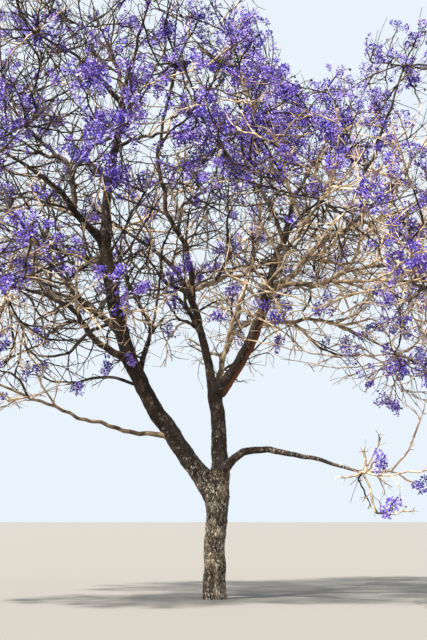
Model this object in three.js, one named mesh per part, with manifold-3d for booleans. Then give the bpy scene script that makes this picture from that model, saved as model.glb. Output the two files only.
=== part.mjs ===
// A jacaranda in full blossom, before its leaves: a short leaning trunk, two great boughs that fork into
// limbs, and at the tip of each limb that carries no other a spray of twigs with tufts of blossom.
// Millimetres, +Z up. The origin is the middle of the flat cut under the trunk, at ground level.
// +X is the viewer's right and +Y points away from the viewer.

import * as THREE from 'three';
import { mergeVertices } from 'three/addons/utils/BufferGeometryUtils.js';
import Module from 'manifold-3d';

const wasm = await Module();
wasm.setup();
const { Manifold } = wasm;

// Driving dimensions
const clearance = 0.3; // between a solid and what carries it
const sectionLength = 580; // of a limb, between two rings
const fewestSections = 4;
const limbSides = 6;
const boughSides = 9;
const boughAcross = 180; // a limb this thick or thicker at its foot has the sides of a bough
const collarSwell = 0.3; // how much thicker a limb is where it leaves its carrier
const domeSections = [[0.35, 0.93], [0.75, 0.6]]; // rings of a rounded end: how far out, and how wide
const trunkSides = 16;
const rootFlare = 0.13; // extra radius at the ground
const rootFlareHeight = 330; // in which most of it is gone
const rootLobes = 5;
const rootLobeDepth = 0.03;

// Sizes of the sprays
const stemSides = 5;
const twigSides = 3;
const twigTipRadius = 8;
const twigBranching = 2.3; // the power that sums the twigs' girths at a fork
const stemShare = 0.3; // of a spray's reach that its stem runs before it forks
const spaceForward = 0.55; // of the reach, from the limb's tip to the middle of the spray's space
const tuftSpacing = 0.47; // of a spray's reach, between twig ends
const tuftTries = 420; // places tried for twig ends in each spray
const mostTufts = 13; // in a spray, besides the one at its stem's fork
const tuftLength = 0.27; // of the reach, from a tuft's middle to the end of its octahedron
const tuftWidth = 0.17; // of the reach, likewise across
const tuftUneven = 0.28; // how far a tuft's corners stray
const faceOfOctahedron = new THREE.Vector3(1, 1, 1).normalize();
const spaceMargin = 16; // kept free at the edge of a spray's own space
const limbMargin = 20; // kept free round every limb
const detourCost = 0.1; // of each millimetre of twig between the stem's foot and a fork
const turnCost = 0.55; // of turning back on the way the twig was heading
const archedTwig = 1300; // a twig longer than this arches
const archShare = 0.38; // of a twig's length over which it keeps the heading of its carrier

// The limbs, each after its carrier. `at` is the share of the carrier's length where it leaves, `long` its
// length and `across` its thickness at foot and tip. `rise` above level and `turn` from +X, in degrees, say
// where it heads, in even steps from foot to tip. `reach` is the radius of the spray at its tip, if any.
const limbs = {
  left: { from: 'trunk', at: 0.93, long: 6000, across: [400, 250],
    rise: [53, 55, 65, 75, 81], turn: [187, 189, 202] },
  left_skirt: { from: 'left', at: 0.255, long: 3580, across: [110, 50],
    rise: [5, 13, 18, 20], turn: [193, 203, 207, 204], reach: 1600 },
  left_lower: { from: 'left', at: 0.56, long: 3100, across: [170, 60],
    rise: [14, 40, 33, 9, 2], turn: [212, 230, 246, 237], reach: 1750 },
  left_back: { from: 'left', at: 0.65, long: 3700, across: [170, 60],
    rise: [37, 33, 43, 37], turn: [140, 130], reach: 1900 },
  low_front: { from: 'left', at: 0.75, long: 1900, across: [80, 45],
    rise: [0, -3], turn: [281], reach: 1000 },
  left_level: { from: 'left', at: 0.9, long: 2900, across: [150, 60],
    rise: [20, 21, 25], turn: [156], reach: 1800 },
  left_upper: { from: 'left', at: 0.985, long: 2600, across: [190, 60],
    rise: [33, 47, 30, 16], turn: [216, 225], reach: 1800 },
  left_riser: { from: 'left_upper', at: 0.37, long: 3600, across: [130, 60],
    rise: [66, 53, 34, 41, 46], turn: [96, 121, 140, 140, 141], reach: 1900 },
  left_front: { from: 'left_riser', at: 0.25, long: 2200, across: [90, 50],
    rise: [10, 5, -2], turn: [291, 297], reach: 1700 },
  leader: { from: 'left', at: 0.985, long: 3490, across: [210, 140],
    rise: [87, 80, 75, 76], turn: [60, 49, 48, 72] },
  leader_level: { from: 'leader', at: 0.62, long: 2450, across: [90, 50],
    rise: [-3, -8, -14], turn: [304], reach: 1750 },
  leader_left: { from: 'leader', at: 0.93, long: 2070, across: [120, 50],
    rise: [31, 33, 19, 9], turn: [218, 231, 229, 227], reach: 1800 },
  leader_back: { from: 'leader', at: 0.98, long: 2900, across: [120, 50],
    rise: [55, 49, 46, 40], turn: [108, 109, 116, 130], reach: 1700 },
  leader_top: { from: 'leader', at: 0.98, long: 1500, across: [110, 55],
    rise: [64, 58, 52], turn: [300], reach: 1700 },
  right: { from: 'trunk', at: 0.95, long: 2200, across: [390, 280],
    rise: [78, 80, 78, 75], turn: [60, 105, 122] },
  right_skirt: { from: 'right', at: 0.17, long: 3200, across: [200, 60],
    rise: [42, -4, -10, -16], turn: [315, 323, 322, 328], reach: 1300 },
  back: { from: 'right', at: 0.9, long: 5060, across: [160, 60],
    rise: [53, 40, 37, 40, 42], turn: [81, 76, 75, 80, 78], reach: 2000 },
  right_fork: { from: 'right', at: 0.985, long: 2600, across: [290, 200],
    rise: [44, 61, 58, 68, 78], turn: [349, 340, 334, 335, 326] },
  right_drooping: { from: 'right_fork', at: 0.68, long: 2720, across: [95, 45],
    rise: [5, -3, -21, -29], turn: [348, 338, 331, 329], reach: 1450 },
  right_level: { from: 'right_fork', at: 0.95, long: 3050, across: [125, 60],
    rise: [10, -9, -5, -3, -8], turn: [321, 318, 310, 316, 325], reach: 1700 },
  right_outer: { from: 'right_level', at: 0.5, long: 2650, across: [95, 50],
    rise: [28, 9, 4], turn: [29, 39, 41], reach: 1800 },
  right_rising: { from: 'right_fork', at: 0.96, long: 5610, across: [140, 60],
    rise: [31, 49, 26, 25, 19, 29], turn: [30, 49, 40, 44, 38, 37], reach: 1800 },
  right_tall: { from: 'right_rising', at: 0.655, long: 3240, across: [95, 50],
    rise: [78, 63, 66, 66], turn: [242, 335, 326, 319], reach: 1450 },
  high_front: { from: 'right_fork', at: 0.95, long: 2500, across: [100, 50],
    rise: [32, 26, 20], turn: [290], reach: 1800 },
  right_top: { from: 'right_fork', at: 0.98, long: 2230, across: [150, 100],
    rise: [70, 73, 68, 71, 77], turn: [25, 28, 21, 24, 38] },
  top_front: { from: 'right_top', at: 0.98, long: 1900, across: [90, 50],
    rise: [25, 20], turn: [246], reach: 1900 },
  top_back: { from: 'right_top', at: 0.98, long: 2300, across: [90, 50],
    rise: [47, 45], turn: [55, 62], reach: 1800 },
  middle: { from: 'right', at: 0.985, long: 4450, across: [210, 80],
    rise: [73, 72, 63, 50, 34], turn: [130, 134, 145], reach: 1800 },
  middle_riser: { from: 'middle', at: 0.5, long: 4700, across: [140, 60],
    rise: [77, 53, 76, 70, 76], turn: [261, 194, 240, 334], reach: 2000 },
  middle_back: { from: 'middle_riser', at: 0.34, long: 3150, across: [90, 50],
    rise: [44, 32, 20], turn: [84, 66], reach: 1900 },
  crossing: { from: 'middle', at: 0.56, long: 3800, across: [110, 55],
    rise: [26, 16, 31, 36], turn: [34, 48], reach: 1900 },
  top_middle: { from: 'right_top', at: 0.55, long: 2500, across: [95, 50],
    rise: [68, 60, 52], turn: [165, 115, 95], reach: 1750 },
};
const trunk = { long: 2200, across: [455, 450], rise: [90, 88, 87, 88], turn: [0], sections: 9 };

// A material for the wood and one for the sprays
const bark = new THREE.MeshStandardMaterial({ color: 0x6e6155, roughness: 0.95, metalness: 0 });
const blossom = new THREE.MeshStandardMaterial({ color: 0x7a5fd0, roughness: 0.8, metalness: 0 });

// The value of a list at share t of the way, where its entries stand for even stretches of the way.
function along(list, t) {
  const place = THREE.MathUtils.clamp(t * list.length - 0.5, 0, list.length - 1);
  const low = Math.floor(place);
  const high = Math.min(low + 1, list.length - 1);
  return THREE.MathUtils.lerp(list[low], list[high], place - low);
}

function heading(limb, t) {
  const rise = THREE.MathUtils.degToRad(along(limb.rise, t));
  const turn = THREE.MathUtils.degToRad(along(limb.turn, t));
  return new THREE.Vector3(Math.cos(rise) * Math.cos(turn), Math.cos(rise) * Math.sin(turn), Math.sin(rise));
}

// Two directions across a heading, the first turned as little as may be from the one before.
function crossDirections(towards, before) {
  const side = before.clone().addScaledVector(towards, -before.dot(towards)).normalize();
  return { side, up: new THREE.Vector3().crossVectors(side, towards) };
}

// The stations of a limb: it walks off from its start, a little further along its heading at each step,
// and keeps the place, heading and radius at the end of each section.
function course(limb, start) {
  const sections = limb.sections ?? Math.max(fewestSections, Math.round(limb.long / sectionLength));
  const stepsInSection = 6;
  const steps = sections * stepsInSection;
  const point = start.clone();
  const stations = [];
  let side = new THREE.Vector3(1, 0, 0.01);
  for (let step = 0; step <= steps; step += 1) {
    const t = step / steps;
    const towards = heading(limb, t);
    if (step % stepsInSection === 0) {
      const directions = crossDirections(towards, side);
      side = directions.side;
      stations.push({ point: point.clone(), towards, ...directions, radius: limb.girth(t), lobes: 0 });
    }
    point.addScaledVector(heading(limb, t + 0.5 / steps), limb.long / steps);
  }
  return stations;
}

// The place and heading at share t of a course.
function stationAt(stations, t) {
  const place = THREE.MathUtils.clamp(t, 0, 1) * (stations.length - 1);
  const low = Math.min(Math.floor(place), stations.length - 2);
  const [before, after] = [stations[low], stations[low + 1]];
  return {
    point: before.point.clone().lerp(after.point, place - low),
    towards: before.towards.clone().lerp(after.towards, place - low).normalize(),
    radius: THREE.MathUtils.lerp(before.radius, after.radius, place - low),
  };
}

// Two more stations past the end, closer and smaller, so that an end which other limbs leave is rounded.
function withDome(stations) {
  const last = stations[stations.length - 1];
  const rings = domeSections.map(([out, wide]) => ({
    ...last,
    point: last.point.clone().addScaledVector(last.towards, last.radius * out),
    radius: last.radius * wide,
  }));
  return [...stations, ...rings];
}

// A manifold solid from a closed geometry.
function solid(geometry) {
  geometry.deleteAttribute('normal');
  geometry.deleteAttribute('uv');
  const merged = mergeVertices(geometry);
  return new Manifold(new wasm.Mesh({
    numProp: 3,
    vertProperties: merged.attributes.position.array,
    triVerts: new Uint32Array(merged.index.array),
  }));
}

// A cylinder of height 1 a section, bent so that each of its rings lies at its station. `grown` widens and
// lengthens it all round, to cut a neighbour clear.
function tube(stations, sides, grown = 0) {
  const sections = stations.length - 1;
  const geometry = new THREE.CylinderGeometry(1, 1, sections, sides, sections);
  geometry.translate(0, sections / 2, 0);
  const corners = geometry.attributes.position;
  const place = new THREE.Vector3();
  for (let i = 0; i < corners.count; i += 1) {
    const ring = Math.round(corners.getY(i));
    const { point, towards, side, up, radius, lobes } = stations[ring];
    const [across, away] = [corners.getX(i), corners.getZ(i)];
    const lobe = 1 + lobes * Math.cos(rootLobes * Math.atan2(across, away));
    const wide = radius * lobe + grown / Math.cos(Math.PI / sides);
    const past = ring === sections ? grown : ring === 0 ? -grown : 0;
    place.copy(point).addScaledVector(towards, past);
    place.addScaledVector(side, across * wide).addScaledVector(up, away * wide);
    corners.setXYZ(i, place.x, place.y, place.z);
  }
  return solid(geometry);
}

function largest(body) {
  return body.decompose().reduce((best, piece) => (piece.volume() > best.volume() ? piece : best));
}

// The trunk: a flare at the ground with a few shallow lobes, and a swelling under its fork.
function growTrunk() {
  const [foot, top] = trunk.across.map((across) => across / 2);
  trunk.girth = (t) => THREE.MathUtils.lerp(foot, top, t) - 0.07 * foot * Math.sin(Math.PI * t);
  trunk.stations = course(trunk, new THREE.Vector3());
  for (const station of trunk.stations) {
    const fade = Math.exp(-station.point.z / rootFlareHeight);
    station.radius *= 1 + rootFlare * fade;
    station.lobes = rootLobeDepth * fade;
  }
  trunk.sides = trunkSides;
  trunk.name = 'trunk';
}

// A limb: it starts on the middle line of its carrier, with a collar, and thins towards its tip.
function growLimb(key, limb) {
  const carrier = limb.from === 'trunk' ? trunk : limbs[limb.from];
  const start = stationAt(carrier.stations, limb.at);
  const [foot, tip] = limb.across.map((across) => across / 2);
  const collarReach = start.radius * 1.3 + foot;
  limb.girth = (t) => {
    const fromFoot = (t * limb.long) / collarReach;
    const collar = 1 + collarSwell * Math.exp(-fromFoot * fromFoot);
    return THREE.MathUtils.lerp(foot, tip, t ** 0.85) * collar;
  };
  limb.carrier = carrier;
  limb.stations = course(limb, start.point);
  limb.sides = limb.across[0] >= boughAcross ? boughSides : limbSides;
  limb.name = `${key}_${limb.across[0] >= boughAcross ? 'bough' : 'limb'}`;
}

// Limbs that leave a carrier's end leave it rounded, and each limb is cut clear of its carrier and of the
// limbs before it on the same carrier.
function carveLimbs() {
  const wood = [trunk, ...Object.values(limbs)];
  for (const limb of wood) {
    const stations = limb.reach ? limb.stations : withDome(limb.stations);
    limb.solid = tube(stations, limb.sides);
    limb.cutter = tube(stations, limb.sides, clearance);
    const before = wood.slice(0, wood.indexOf(limb)).filter((other) => other.carrier === limb.carrier);
    for (const neighbour of limb.carrier ? [limb.carrier, ...before] : []) {
      limb.solid = largest(limb.solid.subtract(neighbour.cutter));
    }
  }
  return wood;
}

// Evenly spread numbers from 0 to 1, the same ones each time for the same seed.
function randomFrom(seed) {
  let state = seed >>> 0;
  const next = () => {
    state = (Math.imul(1664525, state) + 1013904223) >>> 0;
    return (state >>> 8) / 2 ** 24;
  };
  for (let i = 0; i < 4; i += 1) next();
  return next;
}

function distanceToCourse(point, stations) {
  const line = new THREE.Line3();
  const nearest = new THREE.Vector3();
  let best = Infinity;
  for (let i = 1; i < stations.length; i += 1) {
    line.set(stations[i - 1].point, stations[i].point);
    const t = line.closestPointToPointParameter(point, true);
    line.at(t, nearest);
    const radius = THREE.MathUtils.lerp(stations[i - 1].radius, stations[i].radius, t);
    best = Math.min(best, nearest.distanceTo(point) - radius);
  }
  return best;
}

// The middle of a spray's space lies ahead of its limb's tip, and its stem runs from the tip towards it.
function layOutSpray(key, limb, index) {
  const tip = limb.stations[limb.stations.length - 1];
  const middle = tip.point.clone().addScaledVector(tip.towards, spaceForward * limb.reach);
  const stemLength = stemShare * limb.reach;
  const foot = tip.point.clone().addScaledVector(tip.towards, clearance);
  const stem = [0, 1].map((t) => ({
    point: foot.clone().addScaledVector(tip.towards, stemLength * t),
    towards: tip.towards,
    radius: 0.9 * tip.radius,
  }));
  const draw = randomFrom(7919 * (index + 3));
  return { name: `${key}_spray`, limb, middle, reach: limb.reach, stem, draw };
}

// True where a ball of that radius round the point lies in the spray's own space: inside its reach, nearer
// to its own middle than to any other, and clear of the limbs and of the other sprays' stems.
function isFree(point, radius, spray, sprays, wood) {
  const own = point.distanceTo(spray.middle) - spray.reach;
  const margin = radius + spaceMargin;
  if (own > -margin) return false;
  for (const other of sprays) {
    if (other === spray) continue;
    if (point.distanceTo(other.middle) - other.reach < own + 2 * margin) return false;
    if (distanceToCourse(point, other.stem) < radius + limbMargin) return false;
  }
  return wood.every((limb) => distanceToCourse(point, limb.stations) >= radius + limbMargin);
}

// A twig's stations from a fork to its end: a short twig is straight, a long one leaves the way that its
// carrier heads and arches over to the end.
function twigCourse(fork, end) {
  const span = fork.point.distanceTo(end);
  const bend = fork.point.clone().addScaledVector(fork.towards, span * archShare);
  const arch = new THREE.QuadraticBezierCurve3(fork.point, bend, end);
  const shares = span > archedTwig ? [0, 0.5, 1] : [0, 1];
  const points = shares.map((t) => arch.getPoint(t));
  return points.map((point, i) => {
    const before = points[Math.max(i - 1, 0)];
    const after = points[Math.min(i + 1, points.length - 1)];
    const towards = after.clone().sub(before).normalize();
    return { point, towards, radius: twigTipRadius };
  });
}

// Places for twig ends, scattered over the spray's space no nearer to each other than the tuft spacing.
function twigEnds(spray, sprays, wood) {
  const ends = [];
  for (let i = 0; i < tuftTries && ends.length < mostTufts; i += 1) {
    const [height, turn, out] = [2 * spray.draw() - 1, 2 * Math.PI * spray.draw(), spray.draw() ** 0.3];
    const level = Math.sqrt(1 - height * height);
    const end = new THREE.Vector3(level * Math.cos(turn), level * Math.sin(turn), height)
      .multiplyScalar(out * spray.reach).add(spray.middle);
    const roomy = ends.every((other) => other.distanceTo(end) >= tuftSpacing * spray.reach);
    if (roomy && isFree(end, tuftWidth * spray.reach, spray, sprays, wood)) ends.push(end);
  }
  const foot = spray.stem[0].point;
  return ends.sort((a, b) => a.distanceTo(foot) - b.distanceTo(foot));
}

// What it costs to reach an end from a fork: the way there, more where it turns back, and the way so far.
function costOf(fork, end) {
  const way = end.clone().sub(fork.point);
  const span = way.length();
  return span * (1 + turnCost * (1 - way.dot(fork.towards) / span)) + detourCost * fork.run;
}

// Grows the spray's twigs, nearest ends first, each from the fork that costs least and leaves it free. Twigs
// fork at their ends, inside their tufts.
function growTwigs(spray, sprays, wood) {
  const stem = { stations: spray.stem, carrier: null };
  const twigs = [stem];
  const forks = [{ ...spray.stem[1], twig: stem, run: 0 }];
  for (const end of twigEnds(spray, sprays, wood)) {
    const cheapest = [...forks].sort((a, b) => costOf(a, end) - costOf(b, end)).slice(0, 4);
    for (const fork of cheapest) {
      const stations = twigCourse(fork, end);
      const isClear = [0.25, 0.5, 0.75].every((t) => (
        isFree(stationAt(stations, t).point, 2 * twigTipRadius, spray, sprays, wood)
      ));
      if (!isClear) continue;
      const twig = { stations, carrier: fork.twig };
      twigs.push(twig);
      forks.push({ ...stations[stations.length - 1], twig, run: fork.run + fork.point.distanceTo(end) });
      break;
    }
  }
  return twigs;
}

// Gives each twig the girth of the twig ends that it carries, from the last twig back to the stem.
function thicken(twigs) {
  for (const twig of twigs) twig.ends = 1;
  for (const twig of [...twigs].reverse()) {
    if (twig.carrier) twig.carrier.ends += twig.ends;
  }
  for (const twig of twigs.slice(1)) {
    for (const station of twig.stations) station.radius = twigTipRadius * twig.ends ** (1 / twigBranching);
  }
}

// A tuft of blossom at a twig's end: an uneven octahedron that lies on one face, so that the twig enters by
// the middle of that face, and is longer the way that the twig heads.
function tuft(station, spray, sprays, wood) {
  const middle = station.point.clone();
  const [width, length] = [tuftWidth * spray.reach, tuftLength * spray.reach];
  if (!isFree(middle, width, spray, sprays, wood)) return null;
  const upwards = new THREE.Vector3(0, 0, 1);
  const geometry = new THREE.OctahedronGeometry(1, 0);
  geometry.applyQuaternion(new THREE.Quaternion().setFromUnitVectors(faceOfOctahedron, upwards));
  const turn = new THREE.Quaternion().setFromUnitVectors(upwards, station.towards);
  turn.multiply(new THREE.Quaternion().setFromAxisAngle(upwards, Math.PI * spray.draw()));
  const uneven = [...Array(6)].map(() => 1 - tuftUneven * spray.draw());
  const size = new THREE.Vector3(width, width, length);
  const corners = geometry.attributes.position;
  const place = new THREE.Vector3();
  for (let i = 0; i < corners.count; i += 1) {
    place.fromBufferAttribute(corners, i);
    const corner = Math.round((Math.atan2(place.y, place.x) / Math.PI) * 3 + 6) % 6;
    place.multiply(size).multiplyScalar(uneven[corner]).applyQuaternion(turn).add(middle);
    if (!isFree(place, 0, spray, sprays, wood)) return null;
    corners.setXYZ(i, place.x, place.y, place.z);
  }
  return solid(geometry);
}

// One spray: its stem, twigs and tufts, fused into one body.
function growSpray(spray, sprays, wood) {
  const twigs = growTwigs(spray, sprays, wood);
  thicken(twigs);
  const pieces = [];
  for (const twig of twigs) {
    const stations = twig.stations.map((station) => (
      { ...station, ...crossDirections(station.towards, new THREE.Vector3(0.3, 0.2, 1)), lobes: 0 }
    ));
    pieces.push(tube(stations, twig.carrier ? twigSides : stemSides));
    const end = tuft(stations[stations.length - 1], spray, sprays, wood);
    if (end) pieces.push(end);
  }
  return largest(Manifold.union(pieces));
}

// A three.js mesh of a solid.
function meshOf(name, body, material) {
  const { vertProperties, triVerts } = body.getMesh();
  const geometry = new THREE.BufferGeometry();
  geometry.setAttribute('position', new THREE.BufferAttribute(vertProperties, 3));
  geometry.setIndex(new THREE.BufferAttribute(triVerts, 1));
  geometry.computeVertexNormals();
  const mesh = new THREE.Mesh(geometry, material);
  mesh.name = name;
  return mesh;
}

growTrunk();
for (const [key, limb] of Object.entries(limbs)) growLimb(key, limb);
const wood = carveLimbs();
const sprays = Object.entries(limbs).filter(([, limb]) => limb.reach)
  .map(([key, limb], index) => layOutSpray(key, limb, index));

const tree = new THREE.Group();
for (const limb of wood) tree.add(meshOf(limb.name, limb.solid, bark));
for (const spray of sprays) tree.add(meshOf(spray.name, growSpray(spray, sprays, wood), blossom));

export default tree;
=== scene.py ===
"""A jacaranda in full blossom, before its leaves. The wood is a set of tubes with fissured bark along the
solids' own courses. Each spray is grown by the rule of the part's source, written again here, and then
carried on by the same rule to finer twigs, with a panicle of bell flowers at most ends. Everything is in
metres: the origin is the middle of the trunk's foot, +X the viewer's right and +Y away from the viewer."""

import math

import bpy
import numpy as np
from mathutils import Euler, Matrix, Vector


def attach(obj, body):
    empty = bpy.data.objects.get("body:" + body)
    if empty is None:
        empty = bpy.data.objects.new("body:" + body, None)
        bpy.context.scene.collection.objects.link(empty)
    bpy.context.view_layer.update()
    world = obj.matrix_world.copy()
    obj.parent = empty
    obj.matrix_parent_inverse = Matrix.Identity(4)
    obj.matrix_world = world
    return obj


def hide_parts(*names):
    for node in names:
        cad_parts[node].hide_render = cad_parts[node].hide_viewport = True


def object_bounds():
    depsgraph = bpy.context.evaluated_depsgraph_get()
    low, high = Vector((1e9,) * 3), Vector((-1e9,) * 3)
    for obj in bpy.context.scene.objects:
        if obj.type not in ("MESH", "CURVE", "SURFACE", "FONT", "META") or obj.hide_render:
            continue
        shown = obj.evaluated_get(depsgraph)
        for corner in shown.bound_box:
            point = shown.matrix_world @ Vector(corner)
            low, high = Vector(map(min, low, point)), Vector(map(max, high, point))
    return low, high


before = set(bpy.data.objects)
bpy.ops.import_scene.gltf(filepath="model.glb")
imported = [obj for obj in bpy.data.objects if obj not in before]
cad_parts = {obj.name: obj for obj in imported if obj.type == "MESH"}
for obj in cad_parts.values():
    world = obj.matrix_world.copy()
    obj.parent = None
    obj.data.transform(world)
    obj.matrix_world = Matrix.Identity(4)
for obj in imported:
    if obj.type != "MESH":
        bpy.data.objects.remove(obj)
solid_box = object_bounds()

# The camera of the photograph, 427 by 640 pixels: its eye height, distance, upward tilt and focal length
EYE = (-0.0106, -24.541, 1.6)
TILT = math.radians(9.5725)
FOCAL_PX = 1180
PHOTO_PX = (427, 640)
SENSOR_MM = 36
# The lower edge of the open sky between the crown's top and its tall right limb, in the same pixels
SKY_EDGE = ((256, -90), (264, 0), (275, 34), (288, 72), (313, 88), (336, 81), (357, 72), (366, 47),
    (395, 30), (427, 28), (450, -20), (470, -90))
SKY_EDGE_SHIFT, SKY_EDGE_RAGGED = -2, 9  # mean and spread of the random number of pixels added to it
# The way from the tree to the key light, and that light
SUN_FROM = (-0.6, -0.45, 1.2)
SUN_STRENGTH, SUN_ACROSS, SUN_COLOUR = 12.5, math.radians(4), (1.0, 0.95, 0.87)
FLOOR_HALF, FLOOR_DROP = 600.0, 0.001

# Driving values of the source, in metres
CLEARANCE = 0.0003
SECTION = 0.58
FEWEST_SECTIONS = 4
COLLAR_SWELL, COLLAR_REACH = 0.3, 1.3
TAPER_POWER, TRUNK_WAIST = 0.85, 0.07
ROOT_FLARE, ROOT_FLARE_HEIGHT, ROOT_LOBES, ROOT_LOBE_DEPTH = 0.13, 0.33, 5, 0.03
TWIG_TIP = 0.008
STEM_SHARE = 0.3
SPACE_FORWARD = 0.55
TUFT_SPACING, TUFT_TRIES, MOST_TUFTS = 0.47, 420, 13
TUFT_LENGTH, TUFT_WIDTH = 0.27, 0.17
SPACE_MARGIN, LIMB_MARGIN = 0.016, 0.020
DETOUR_COST, TURN_COST, ARCH_SHARE, ARCHED_TWIG = 0.1, 0.55, 0.38, 1.3
FORKS_TRIED = 4

# Of the finer growth, which the source leaves out. The lengths are in metres.
FINE_TIP = 0.0066  # radius of the thinnest twigs' ends
GIRTH_POWER = 1 / 2.15  # the pipe rule: girth grows as this power of the ends carried
FORK_SHARE = 0.94  # a twig's radius at its foot is at most this share of what it leaves
SHOOT_TURN_COST, TUFT_TURN_COST = 2.6, 1.4
FINE_DETOUR_COST = 0.05
TWIG_STATIONS, SLIGHT_ARCH = 8, 0.2  # of the source's twigs, and the arch of those that it has straight
# Each age of shoots: how many leave a metre, how long they are, how far they turn out in degrees, how far
# their ends keep apart, their stations and how strongly they hang. Those that hang leave the wood below
# HANG_BELOW only.
SHOOT_AGES = (
    (7.0, (0.5, 1.7), (25, 80), 0.30, 6, 0.9),
    (10.0, (0.8, 2.3), (14, 40), 0.25, 6, 0),
    (7.0, (0.4, 1.3), (14, 42), 0.19, 4, 0),
    (5.0, (0.22, 0.6), (14, 42), 0.165, 3, 0),
)
HANG_BELOW = 7.3
LOWEST_SHOOT, SHOOT_FALL = 5.0, 0.3  # height over the trunk, and how much lower for each metre out
SHOOTS_FROM, SHOOT_CROWDING = 0.06, 0.7  # share of a twig, and the power that crowds them at its end
# Shoots above this height are lifted, and twigs there turn up at their ends, both more with each metre
LEVEL_HEIGHT = 6.0
LIFT, LEAST_LIFT, MOST_LIFT = 0.13, -0.25, 0.7
SAG, LEAST_SAG, MOST_SAG = 0.04, -0.10, 0.08
LEAST_ARCH, MORE_ARCH = 0.08, 0.26  # share of a twig's length, and more the straighter it goes on
SHORTEST_TWIG = 0.04
TWIG_KINK, SHOOT_KINK = 0.018, 0.014  # how far one strays from its arch, as a share of its length
BOX_MARGIN, WOOD_MARGIN = 0.12, 0.1  # kept free inside the solids' box and round the wood
NEAR_WOOD = 1.15  # how far from a limb the crown goes between the sprays
WELL_INSIDE = 0.5  # how deep inside a spray's space the crown begins low down
NEAR_SPRAY = 0.3  # how far outside a spray's space a shoot may still be in flower
LIMB_STATION, BARE_FOOT, LOWEST_FORK = 0.11, 0.28, 3.4  # where twigs may leave the limbs
TUFT_ENDS, BARE_TUFT_ENDS = 12, 6  # twig ends in a tuft in flower, and in a bare one
FULL_REACH, ENDS_BY_REACH = 1.7, 1.5  # a spray of less reach has fewer ends, by this power of its share
TUFT_SPREAD, TUFT_FILLING = 0.95, 0.45  # how far out the ends go, and the power that moves them outwards
IN_OCTAHEDRON = 0.816, 0.577  # of a tuft's octahedron, across and along, its ellipsoid
BLOOM_IN_TUFT = 0.7  # the share of a flowering tuft's ends that carry a panicle
CROWN_MIDDLE, CROWN_UNEVEN = (0.2, 0.4, 4.0), 0.35  # tufts furthest from it come into blossom first
STOUT, STOUT_SIDES, THIN_SIDES = 0.016, 5, 3  # radius at the foot of the stout twigs, and their sides
KEEPS_COLOUR = 0.75  # the share of twigs that keep the painted sunlit or painted shaded bark of what they leave
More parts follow.
